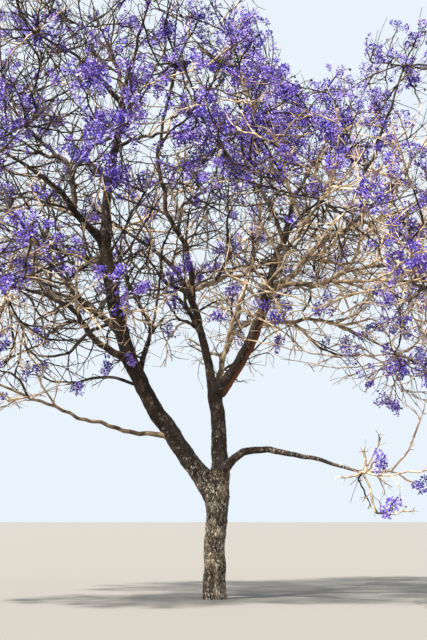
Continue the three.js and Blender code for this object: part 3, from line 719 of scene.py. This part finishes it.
def shoot_ends(growth, numbers, age, dice):
    """Ends of the next age of shoots: from places along each twig, at a length and an angle off its
    heading, turned at random about it, and lifted high in the crown or hanging low in it."""
    per_metre, lengths, angles, spacing, _, hang = age
    starts, ways = [], []
    for number in numbers:
        row = growth.rows[number]
        steps = np.linalg.norm(np.diff(row, axis=0), axis=-1)
        count = dice.poisson(steps.sum() * per_metre)
        place = dice.uniform(SHOOTS_FROM, 1, count) ** SHOOT_CROWDING * (len(row) - 1)
        low = np.minimum(place.astype(int), len(row) - 2)
        starts.append(row[low] + (row[low + 1] - row[low]) * (place - low)[:, None])
        ways.append(unit(row[low + 1] - row[low]))
    starts, ways = np.concatenate(starts), np.concatenate(ways)
    if hang:
        low_down = starts[:, 2] < HANG_BELOW
        starts, ways = starts[low_down], ways[low_down]
    side, _ = across(ways, unit(dice.normal(size=ways.shape)))
    angle = np.radians(dice.uniform(*angles, len(ways)))[:, None]
    lift = np.clip((starts[:, 2] - LEVEL_HEIGHT) * LIFT, LEAST_LIFT, MOST_LIFT) - hang
    ways = unit(ways * np.cos(angle) + side * np.sin(angle) + lift[:, None] * [0, 0, 1])
    ends = starts + ways * dice.uniform(*lengths, (len(ways), 1))
    ends = ends[in_crown(ends, dice)]
    before = np.array([row[-1] for row, kind in zip(growth.rows, growth.kinds) if kind != "limb"])
    return ends[spread_out(ends, spacing, before)]


def join(growth, end, kind, stations, dice, turn_cost=SHOOT_TURN_COST):
    """One finer twig, from the cheapest fork by an arch that is a little crooked, and bent less where its
    way turns back. Gives its number, or nothing where it would be too short."""
    i = growth.cheapest(end, FINE_DETOUR_COST, turn_cost)
    place, towards, run = growth.place[i], growth.towards[i], growth.run[i]
    span = np.linalg.norm(end - place)
    ahead = max(0.0, float((end - place) @ towards) / max(span, 1e-6))
    sag = np.clip((LEVEL_HEIGHT - end[2]) * SAG, LEAST_SAG, MOST_SAG)
    row = arch(place, towards, end, stations, LEAST_ARCH + MORE_ARCH * ahead, sag)
    row = crooked(row, dice, SHOOT_KINK)
    if span <= SHORTEST_TWIG:
        return None
    return growth.add(row, tuple(growth.source[i]), kind, run, range(1, stations))


def nearest_spray(point):
    """The spray whose space a point lies in, or next to, and how far outside it is."""
    out = [np.linalg.norm(point - spray.middle) - spray.reach for spray in sprays]
    return sprays[int(np.argmin(out))], min(out)


def grow_shoots(growth, dice):
    """The ages of shoots, each from all the twigs before it and the first also from the limbs. Gives the
    numbers of the youngest."""
    carriers = list(range(len(growth.rows)))
    for age in SHOOT_AGES:
        ends = shoot_ends(growth, carriers, age, dice)
        made = [join(growth, end, "shoot", age[4], dice) for end in ends]
        made = [number for number in made if number is not None]
        carriers = made + [number for number in carriers if growth.kinds[number] != "limb"]
    return made


def bloom_on_shoots(growth, numbers, dice):
    """Panicles at a few of the shoots, more of them where the spray is in blossom and high in the crown.
    Low in the crown there are also some that stand four together."""
    for number in numbers:
        end = growth.rows[number][-1]
        spray, out = nearest_spray(end)
        chance = BLOOM_ON_SHOOTS * spray.bloom * max(1, spray.bloom) * (out < NEAR_SPRAY)
        chance *= np.clip((end[2] - 4.5) / 4, 0.2, 1)
        growth.kinds[number] = "bloom" if dice.random() < chance else "bare"
        if end[2] < HANG_BELOW and dice.random() < BLOOM_LOW_DOWN:
            growth.kinds[number] = "bloom"
            for point in end + dice.normal(0, CLUSTER_SPREAD, (3, 3)):
                join(growth, point, "bloom", 3, dice, TUFT_TURN_COST)


def fill_tuft(growth, spray, place, count, in_flower, dice):
    """The twigs of one tuft, which end in the tuft's own ellipsoid, the nearest to its middle first. Most
    of them carry a panicle where the tuft is in flower."""
    middle, towards, _ = place
    wide, long = IN_OCTAHEDRON[0] * TUFT_WIDTH * spray.reach, IN_OCTAHEDRON[1] * TUFT_LENGTH * spray.reach
    ball = unit(dice.normal(size=(count, 3))) * dice.random((count, 1)) ** TUFT_FILLING * TUFT_SPREAD
    lengthwise = (ball @ towards)[:, None] * towards
    cloud = middle + lengthwise * long + (ball - lengthwise) * wide
    cloud = cloud[np.argsort(np.linalg.norm(cloud - middle, axis=-1))]
    cloud = cloud[~in_open_sky(cloud, dice)]
    in_bloom = in_flower & (dice.random(len(cloud)) < BLOOM_IN_TUFT)
    for point, blooms in zip(cloud, in_bloom):
        join(growth, point, "bloom" if blooms else "bare", 3, dice, TUFT_TURN_COST)


def fill_tufts(growth, forks, dice):
    """The twigs of every tuft. In each spray the tufts furthest from the crown's middle are in flower."""
    for spray, places in zip(sprays, forks):
        outward = np.array([np.linalg.norm(place[0] - CROWN_MIDDLE) for place in places])
        outward += np.random.default_rng(1000 + spray.index).normal(0, CROWN_UNEVEN, len(places))
        blooming = np.argsort(np.argsort(-outward)) < spray.bloom * len(places)
        full = TUFT_ENDS * max(1, spray.bloom) * min(1, spray.reach / FULL_REACH) ** ENDS_BY_REACH
        for place, in_flower in zip(places, blooming):
            count = round(full) if in_flower else BARE_TUFT_ENDS
            fill_tuft(growth, spray, place, count, in_flower, dice)


def twig_radii(growth):
    """Radii along every twig: that of the thinnest, times a power of the number of ends carried there, and
    never more than a share of what it leaves. A twig that carries no other tapers by a quarter."""
    loads = [np.ones(len(row)) for row in growth.rows]
    for i in range(len(growth.rows) - 1, -1, -1):
        if growth.carriers[i] is not None:
            owner, station = growth.carriers[i]
            loads[owner][: station + 1] += loads[i][0]
    radii = []
    for load, carrier, given in zip(loads, growth.carriers, growth.given):
        if carrier is None:
            radii.append(given)
        else:
            owner, station = carrier
            taper = 1 - 0.25 * np.linspace(0, 1, len(load)) * (load[0] < 2)
            most = FORK_SHARE * radii[owner][station]
            radii.append(np.minimum(FINE_TIP * load**GIRTH_POWER, most) * taper)
    return radii


def repeated(faces, counts):
    """The faces of one shape for many shapes in a row, each with its own points after the last one's."""
    shapes, points = counts
    one = np.concatenate(faces)
    return (one[None] + (np.arange(shapes) * points)[:, None, None]).reshape(-1, 3)


def tubes(rows, radii, sides):
    """Closed tubes along many rows of stations at once: each ring is the station plus the radius times the
    cosine and sine of the angle along two directions across the way there. Each end closes in a point."""
    rows, radii = np.asarray(rows), np.asarray(radii)
    count, stations = radii.shape
    towards = unit(np.gradient(rows, axis=1))
    side, up = np.zeros_like(rows), np.zeros_like(rows)
    before = np.tile([0.31, 0.17, 0.9], (count, 1))
    for station in range(stations):
        side[:, station], up[:, station] = across(towards[:, station], before)
        before = side[:, station]
    angle = 2 * np.pi * np.arange(sides) / sides
    ring = side[:, :, None] * np.cos(angle)[:, None] + up[:, :, None] * np.sin(angle)[:, None]
    body = rows[:, :, None] + ring * radii[:, :, None, None]
    tip = rows[:, -1] + towards[:, -1] * radii[:, -1:] * 1.5
    points = np.concatenate([body.reshape(count, -1, 3), rows[:, :1], tip[:, None]], 1)
    total = stations * sides
    ends = caps(0, total - sides, sides, total, total + 1)
    return points.reshape(-1, 3), repeated([grid_triangles(stations - 1, sides), *ends], points.shape[:2])


def joined(parts):
    """Several arrays of points and of triangles as one of each."""
    starts = np.cumsum([0] + [len(points) for points, _ in parts])
    triangles = [triangles + start for (_, triangles), start in zip(parts, starts)]
    return np.concatenate([points for points, _ in parts]), np.concatenate(triangles)


# Blossom and pods

FLOWER_LENGTH, FLOWER_WIDTH, FLOWER_CORNERS = 0.050, 0.036, 3
PANICLE_FLOWERS = 36
PANICLE_LENGTH, PANICLE_WIDTH = 0.24, 0.078
BLOOM_ON_SHOOTS, BLOOM_LOW_DOWN = 0.14, 0.035  # shares of the shoots
CLUSTER_SPREAD = 0.06  # between four panicles that stand together
FLOWERS_ALONE = 0.35  # the share of flowers whose colour isn't their panicle's, a speckle of painted light and shade
POD_ACROSS, POD_THICK = 0.060, 0.020
PODS = 260
# The pale violet is partly painted sunlight on the flowers and the deep violet partly painted shade; the
# flowers also differ in colour as real ones do
SHADES = {
    "violet": ("#5a41b8", "#806bd4"),
    "deep_violet_painted_shade": ("#36257f", "#563ead"),
    "pale_violet_painted_sunlight": ("#937fd8", "#c3b8ec"),
    "mauve": ("#65449b", "#9377c9"),
}


def flowers(places, ways, scale, dice):
    """Bell flowers at many places at once: a point at the stalk, the corners of the rim at the flower's
    length, each at its own small distance, and a point in the throat, joined by faces outside and inside."""
    count, corners = len(places), FLOWER_CORNERS
    side, up = across(ways, unit(dice.normal(size=(count, 3))))
    angle = 2 * np.pi / corners * np.arange(corners)
    out = side[:, None] * np.cos(angle)[:, None] + up[:, None] * np.sin(angle)[:, None]
    wide = FLOWER_WIDTH / 2 * scale[:, None] * dice.uniform(0.8, 1.25, (count, corners))
    long = FLOWER_LENGTH * scale[:, None] * dice.uniform(0.85, 1.1, (count, corners))
    rim = places[:, None] + ways[:, None] * long[..., None] + out * wide[..., None]
    throat = places + ways * (0.5 * FLOWER_LENGTH * scale)[:, None]
    points = np.concatenate([places[:, None], rim, throat[:, None]], 1)
    j = np.arange(corners)
    outside = np.stack([np.zeros(corners, int), 1 + j, 1 + (j + 1) % corners], -1)
    inside = np.stack([np.full(corners, corners + 1), 1 + (j + 1) % corners, 1 + j], -1)
    return points.reshape(-1, 3), repeated([outside, inside], points.shape[:2])


def panicles(ends, headings, dice):
    """The flowers of many panicles at once. A panicle is a loose cone round an axis between its twig's
    heading and upright: a flower lies a share a along it, out by the cone's width there times the root of
    a random number, and points outwards and a little down."""
    count = len(ends)
    axis = unit(headings + np.array([0, 0, 0.55]) + dice.normal(0, 0.3, (count, 3)))
    size = dice.uniform(0.7, 1.2, count)
    side, up = across(axis, unit(dice.normal(size=(count, 3))))
    a = dice.random((count, PANICLE_FLOWERS)) ** 0.8
    turn = 2 * np.pi * dice.random((count, PANICLE_FLOWERS))
    out = np.sqrt(dice.random((count, PANICLE_FLOWERS))) * (1.05 - 0.75 * a)
    radial = side[:, None] * np.cos(turn)[..., None] + up[:, None] * np.sin(turn)[..., None]
    centre = ends[:, None] + axis[:, None] * ((a - 0.3) * PANICLE_LENGTH * size[:, None])[..., None]
    places = centre + radial * (out * PANICLE_WIDTH * size[:, None])[..., None]
    ways = unit(radial * 0.9 + axis[:, None] * 0.35 + [0, 0, -0.3] + dice.normal(0, 0.35, places.shape))
    keep = dice.random((count, PANICLE_FLOWERS)) < dice.uniform(0.6, 1.0, (count, 1))
    keep[:, 0] = True
    owner = np.repeat(np.arange(count)[:, None], PANICLE_FLOWERS, 1)[keep]
    return places[keep], ways[keep], owner


def pods(ends, dice):
    """Flat round woody pods that hang on edge from twig ends: two rims of eight corners a third of the
    thickness apart, and a point in the middle of each face at the full thickness."""
    count = len(ends)
    flat = dice.normal(size=(count, 3)) * [1, 1, 0.25]
    side, up = across(unit(flat), unit(dice.normal(size=(count, 3))))
    angle = np.pi / 4 * np.arange(8)[:, None]
    size = dice.uniform(0.75, 1.15, (count, 1, 1))
    out = (side[:, None] * np.cos(angle) + up[:, None] * np.sin(angle)) * POD_ACROSS / 2 * size
    thick = unit(flat)[:, None] * POD_THICK * size
    middle = (ends - [0, 0, POD_ACROSS / 2])[:, None]
    rims = [middle + out - thick / 6, middle + out + thick / 6]
    points = np.concatenate([*rims, middle - thick / 2, middle + thick / 2], 1)
    return points.reshape(-1, 3), repeated([grid_triangles(1, 8), *caps(0, 8, 8, 16, 17)], points.shape[:2])


# Materials

# Barks from their dark to their pale patches. The brown ones are darkened as painted shade, the pale ones
# lightened as painted sunlight: two copies of one bark.
BROWN_PAINTED_SHADE_LIMBS = ("#1d150f", "#3a2c21", "#705c49")
PAINTED_SUNLIT_LIMBS = ("#433426", "#857056", "#bba489")
BROWN_PAINTED_SHADE_TWIGS = ("#17100c", "#30241b", "#715e4a")
PAINTED_SUNLIT_TWIGS = ("#7a644c", "#b59d7f", "#dccab0")


def add_node(material, kind, settings=None, links=None):
    """Adds a node, sets its properties and sockets, and links its inputs to other nodes' outputs."""
    tree = material.node_tree
    node = tree.nodes.new(kind)
    for name, value in (settings or {}).items():
        if isinstance(name, int) or name in node.inputs.keys():
            node.inputs[name].default_value = value
        else:
            setattr(node, name, value)
    for name, output in (links or {}).items():
        tree.links.new(output, node.inputs[name])
    return node


def new_material(name, roughness):
    """An empty node material with its shader, whose even values are set on the shader itself."""
    material = bpy.data.materials.new(name)
    material.use_nodes = True
    shader = material.node_tree.nodes["Principled BSDF"]
    shader.inputs["Roughness"].default_value = roughness
    shader.inputs["IOR"].default_value = 1.45
    return material, shader


def noise(material, place, millimetres, detail=3.0, roughness=0.55):
    """Noise whose patches are about so many millimetres across."""
    settings = {"Scale": 500 / millimetres, "Detail": detail, "Roughness": roughness}
    return add_node(material, "ShaderNodeTexNoise", settings, {"Vector": place}).outputs["Fac"]


def ramp(material, source, stops):
    """A colour ramp through hex colours at given places."""
    node = add_node(material, "ShaderNodeValToRGB", links={"Fac": source})
    elements = node.color_ramp.elements
    for i, (place, colour) in enumerate(stops):
        element = elements[i] if i < 2 else elements.new(place)
        element.position, element.color = place, linear(colour)
    return node.outputs["Color"]


def share(material, source, low, high, most=1.0):
    """How far a value has gone from low to high, up to most."""
    settings = {"From Min": low, "From Max": high, "To Max": most}
    return add_node(material, "ShaderNodeMapRange", settings, {"Value": source}).outputs["Result"]


def tint(material, factor, below, above):
    """Two colours mixed by a factor; the upper one is a hex colour."""
    settings = {"data_type": "RGBA", 7: linear(above)}
    return add_node(material, "ShaderNodeMix", settings, {0: factor, 6: below}).outputs[2]


def roughen(material, shader, height, strength, distance):
    """A bump of a real depth from a height."""
    settings = {"Strength": strength, "Distance": distance}
    bump = add_node(material, "ShaderNodeBump", settings, {"Height": height})
    material.node_tree.links.new(bump.outputs["Normal"], shader.inputs["Normal"])


def fissured_bark():
    """Old jacaranda bark, dry and matt: brown plates in streaks some 90 mm wide and twice as tall, made
    darker on the boughs by a painted shade of the crown, and nearly black in the fissures between them, their
    own dark bark with painted shade. Pale grey flakes of 15 to 30 mm crowd together in places some 200 mm
    across, most of them low on the trunk, and fewer up on the boughs by the same painted shade. Lichen greys
    patches
    70 mm across, and on the right fork's underside, where it faces outwards and down, an orange-brown is
    painted bounce light from the warm ground."""
    material, shader = new_material("fissured_bark", 0.95)
    place = add_node(material, "ShaderNodeTexCoord").outputs["Object"]
    tall = add_node(material, "ShaderNodeMapping", {"Scale": (1, 1, 0.45)}, {"Vector": place}).outputs[0]
    patches = noise(material, tall, 90, 5.0, 0.65)
    low = ramp(material, patches, [(0.36, "#211811"), (0.50, "#43352a"), (0.64, "#7a6853")])
    # Painted shade: from 1.8 to 3.2 m up the bark turns to this darker ramp, standing for the crown's shade
    # over the boughs
    high = ramp(material, patches, [(0.34, "#17100c"), (0.50, "#2a1e16"), (0.66, "#4c3b2e")])
    height = add_node(material, "ShaderNodeSeparateXYZ", links={"Vector": place}).outputs["Z"]
    links = {0: share(material, height, 1.8, 3.2), 6: low, 7: high}
    colour = add_node(material, "ShaderNodeMix", {"data_type": "RGBA"}, links).outputs[2]
    crowding = share(material, noise(material, place, 200, 2.0), 0.58, 0.40, 0.07)
    links = {0: noise(material, tall, 15, 4.0, 0.7), 1: crowding}
    flakes = add_node(material, "ShaderNodeMath", {"operation": "SUBTRACT"}, links).outputs[0]
    # Fewer pale flakes from 1.8 m up, part of the same painted shade on the boughs
    links = {0: flakes, 1: share(material, height, 1.8, 4.0, 0.13)}
    flakes = add_node(material, "ShaderNodeMath", {"operation": "SUBTRACT"}, links).outputs[0]
    colour = tint(material, share(material, flakes, 0.50, 0.56, 0.9), colour, "#d3c6b0")
    lichen = noise(material, place, 70, 3.0, 0.6)
    colour = tint(material, share(material, lichen, 0.60, 0.70, 0.6), colour, "#847d6e")
    # The fissures are darkened nearly to black: partly their own darker bark, partly painted shade in the
    # recesses
    depth = add_node(material, "ShaderNodeAttribute", {"attribute_name": "fissure"}).outputs["Fac"]
    colour = tint(material, share(material, depth, 0.25, 1.0, 0.85), colour, "#1a130e")
    # Painted bounce light from the ground: an orange-brown tint on the right fork's underside
    painted_ground_bounce = add_node(material, "ShaderNodeAttribute", {"attribute_name": "painted_ground_bounce"}).outputs["Fac"]
    colour = tint(material, painted_ground_bounce, colour, "#7a4c2c")
    material.node_tree.links.new(colour, shader.inputs["Base Color"])
    roughen(material, shader, noise(material, place, 9, 3.0), 0.6, 0.004)
    return material


def young_bark(name, dark, middle, pale):
    """Bark of limbs and twigs, nearly smooth: brown, bleached to beige where the sun has dried it in patches
    of 70 mm, with a faint bump of corky spots 6 mm across."""
    material, shader = new_material(name, 0.85)
    place = add_node(material, "ShaderNodeTexCoord").outputs["Object"]
    skin = ramp(material, noise(material, place, 70, 4.0), [(0.34, dark), (0.52, middle), (0.68, pale)])
    material.node_tree.links.new(skin, shader.inputs["Base Color"])
    roughen(material, shader, noise(material, place, 6, 2.0), 0.3, 0.0015)
    return material


def petals(name, deep, pale):
    """Jacaranda petals: thin matt violet bells, paler towards the rim, which shows as a play between two
    violets over some 40 mm, the size of a flower."""
    material, shader = new_material(name, 0.55)
    place = add_node(material, "ShaderNodeTexCoord").outputs["Object"]
    skin = ramp(material, noise(material, place, 40, 2.0), [(0.38, deep), (0.62, pale)])
    material.node_tree.links.new(skin, shader.inputs["Base Color"])
    return material


def pod_shell():
    """Dry woody pods: dull brown with darker blotches of 25 mm."""
    material, shader = new_material("dry_pod", 0.8)
    place = add_node(material, "ShaderNodeTexCoord").outputs["Object"]
    skin = ramp(material, noise(material, place, 25), [(0.40, "#3a2a1c"), (0.60, "#6b4d33")])
    material.node_tree.links.new(skin, shader.inputs["Base Color"])
    return material


def plain_floor():
    """The studio's pale even floor."""
    material, shader = new_material("pale_studio_floor", 0.95)
    shader.inputs["Base Color"].default_value = linear("#706d68")
    return material


# Camera and light


def set_camera():
    """The photograph's viewpoint: standing eye height, tilted up. The lens is the focal length in pixels as
    a share of the picture's longer side, times the sensor's width."""
    camera = bpy.data.objects.new("camera", bpy.data.cameras.new("camera"))
    camera.data.sensor_width = SENSOR_MM
    camera.data.lens = FOCAL_PX / max(PHOTO_PX) * SENSOR_MM
    camera.data.clip_end = 1500
    camera.location = EYE
    camera.rotation_euler = Euler((math.pi / 2 + TILT, 0, 0))
    bpy.context.scene.collection.objects.link(camera)
    bpy.context.scene.camera = camera


def set_light():
    """A high key from the upper left and front, a pale even surround, and colours shown as they are."""
    sun = bpy.data.lights.new("key", "SUN")
    sun.energy, sun.angle, sun.color = SUN_STRENGTH, SUN_ACROSS, SUN_COLOUR
    key = bpy.data.objects.new("key", sun)
    key.rotation_euler = Vector(SUN_FROM).to_track_quat("Z", "Y").to_euler()
    bpy.context.scene.collection.objects.link(key)
    world = bpy.data.worlds.new("surround")
    world.use_nodes = True
    background = world.node_tree.nodes["Background"]
    background.inputs["Color"].default_value = linear("#e9f3fd")
    background.inputs["Strength"].default_value = 1.0
    bpy.context.scene.world = world
    bpy.context.scene.view_settings.view_transform = "Standard"


def lay_floor():
    """A square floor, far wider than the tree."""
    corners = np.array([[-1, -1, 0], [1, -1, 0], [1, 1, 0], [-1, 1, 0]]) * FLOOR_HALF - [0, 0, FLOOR_DROP]
    triangles = np.array([[0, 1, 2], [0, 2, 3]])
    make_piece("floor", corners, triangles, plain_floor(), body=None, smooth=False)


# The pieces


def limb_node(limb):
    """The name of the solid of a limb."""
    if limb.carrier is None:
        return "trunk"
    return limb.name + ("_bough" if limb.thick else "_limb")


def dress_wood():
    """The trunk and boughs with fissured bark, and the thinner limbs in two pieces: a pale bark of painted
    sunlight and a dark brown bark of painted shade."""
    thick = [w for w in wood.values() if w.thick or w.carrier is None]
    brown = [w for w in wood.values() if w not in thick and w.bleached < 0.5]
    bleached = [w for w in wood.values() if w not in thick and w.bleached >= 0.5]
    parts = (
        ("trunk_and_boughs", thick, fissured_bark()),
        ("limbs_brown", brown, young_bark("limb_bark", *BROWN_PAINTED_SHADE_LIMBS)),
        ("limbs_bleached", bleached, young_bark("bleached_limb_bark", *PAINTED_SUNLIT_LIMBS)),
    )
    for name, limbs, material in parts:
        points, triangles, attributes = bark_mesh(limbs)
        piece = make_piece(name, points, triangles, material, attributes=attributes)
        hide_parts(*[limb_node(limb) for limb in limbs])


def grow_crown(dice):
    """The limbs' own rows, where twigs may leave them, and then every twig."""
    growth, stems = Growth(), {}
    for limb in wood.values():
        if limb.carrier:
            every = max(1, round(LIMB_STATION / limb.step))
            stations = np.unique(np.append(np.arange(limb.first, len(limb.path), every), len(limb.path) - 1))
            row = limb.path[stations]
            far = (stations - limb.first) * limb.step > BARE_FOOT + limb.foot
            keep = np.flatnonzero(far & (row[:, 2] > LOWEST_FORK))
            number = growth.add(row, None, "limb", 0.0, keep, limb.spread[stations])
            stems[limb.name] = (number, len(stations) - 1)
    growth.run[:] = 0
    forks = [grow_tuft_twigs(growth, spray, stems[spray.limb.name], dice) for spray in sprays]
    bloom_on_shoots(growth, grow_shoots(growth, dice), dice)
    fill_tufts(growth, forks, dice)
    return growth


def bleached_twigs(growth, dice):
    """For each twig whether it has the pale bark of painted sunlight: most are as what they leave is, and the
    others by the share of painted sunlit wood of the limb that they go back to."""
    shares, bleached = [], []
    limbs = iter([limb for limb in wood.values() if limb.carrier])
    for carrier in growth.carriers:
        share_here = next(limbs).bleached if carrier is None else shares[carrier[0]]
        keeps = carrier is not None and growth.kinds[carrier[0]] != "limb" and dice.random() < KEEPS_COLOUR
        shares.append(share_here)
        bleached.append(bleached[carrier[0]] if keeps else dice.random() < share_here)
    return bleached


def dress_twigs(growth, dice):
    """Twigs in pieces by thickness, by whether they have the pale bark of painted sunlight or the dark brown
    bark of painted shade and, for the thin ones, by side of the tree.
    """
    radii, groups = twig_radii(growth), {}
    for row, radius, kind, pale in zip(growth.rows, radii, growth.kinds, bleached_twigs(growth, dice)):
        if kind != "limb":
            stout = radius[0] > STOUT
            side = "" if stout else "_left" if row[0, 0] < 0 else "_right"
            groups.setdefault((stout, pale, side, len(row)), []).append((row, radius))
    parts = {}
    for (stout, pale, side, _), group in groups.items():
        sides = STOUT_SIDES if stout else THIN_SIDES
        made = tubes([row for row, _ in group], [radius for _, radius in group], sides)
        parts.setdefault((stout, pale, side), []).append(made)
    # Two copies of one bark: dark brown for painted shade, pale for painted sunlight
    barks = young_bark("twig_bark", *BROWN_PAINTED_SHADE_TWIGS), young_bark("bleached_twig_bark", *PAINTED_SUNLIT_TWIGS)
    for (stout, pale, side), made in sorted(parts.items()):
        name = ("branches_" if stout else "twigs_") + ("bleached" if pale else "brown") + side
        piece = make_piece(name, *joined(made), barks[pale])
        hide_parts(*spray_nodes)


def dress_blossom(growth, dice):
    """Panicles at the blossoming ends, their flowers dealt out by panicle to pieces of one shade each, with
    about one flower in three dealt out on its own. The pale and the deep violet are partly painted sunlight
    and painted shade."""
    rows = [row for row, kind in zip(growth.rows, growth.kinds) if kind == "bloom"]
    ends, headings = np.array([r[-1] for r in rows]), unit(np.array([r[-1] - r[-2] for r in rows]))
    places, ways, owner = panicles(ends, headings, dice)
    shade = dice.integers(0, len(SHADES), len(rows))[owner]
    alone = dice.random(len(shade)) < FLOWERS_ALONE
    shade[alone] = dice.integers(0, len(SHADES), alone.sum())
    for index, (name, colours) in enumerate(SHADES.items()):
        chosen = shade == index
        points, triangles = flowers(places[chosen], ways[chosen], dice.uniform(0.8, 1.2, chosen.sum()), dice)
        skin = petals(name + "_petals", *colours)
        piece = make_piece("blossom_" + name, points, triangles, skin, smooth=False)
        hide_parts(*spray_nodes)


def dress_pods(growth, dice):
    """Last year's pods at some of the bare ends, most of them high in the crown."""
    ends = np.array([row[-1] for row, kind in zip(growth.rows, growth.kinds) if kind == "bare"])
    chance = np.clip((ends[:, 2] - 5) / 7, 0.1, 1)
    chosen = dice.choice(len(ends), PODS, replace=False, p=chance / chance.sum())
    points, triangles = pods(ends[chosen], dice)
    piece = make_piece("seed_pods", points, triangles, pod_shell(), smooth=False)
    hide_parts(*spray_nodes)


# Putting it together

set_camera()
set_light()
lay_floor()

# The limbs, the sprays and the stretches of both, which the functions above read
wood = settle_wood()
sprays = [Spray(limb, index) for index, limb in enumerate(limb for limb in wood.values() if limb.reach)]
spray_nodes = [spray.limb.name + "_spray" for spray in sprays]
stretches = Stretches(list(wood.values()), sprays)

dice = np.random.default_rng(77)
for limb in wood.values():
    lay_trail(limb, dice)
dress_wood()
crown = grow_crown(dice)
dress_twigs(crown, dice)
dress_blossom(crown, dice)
dress_pods(crown, dice)
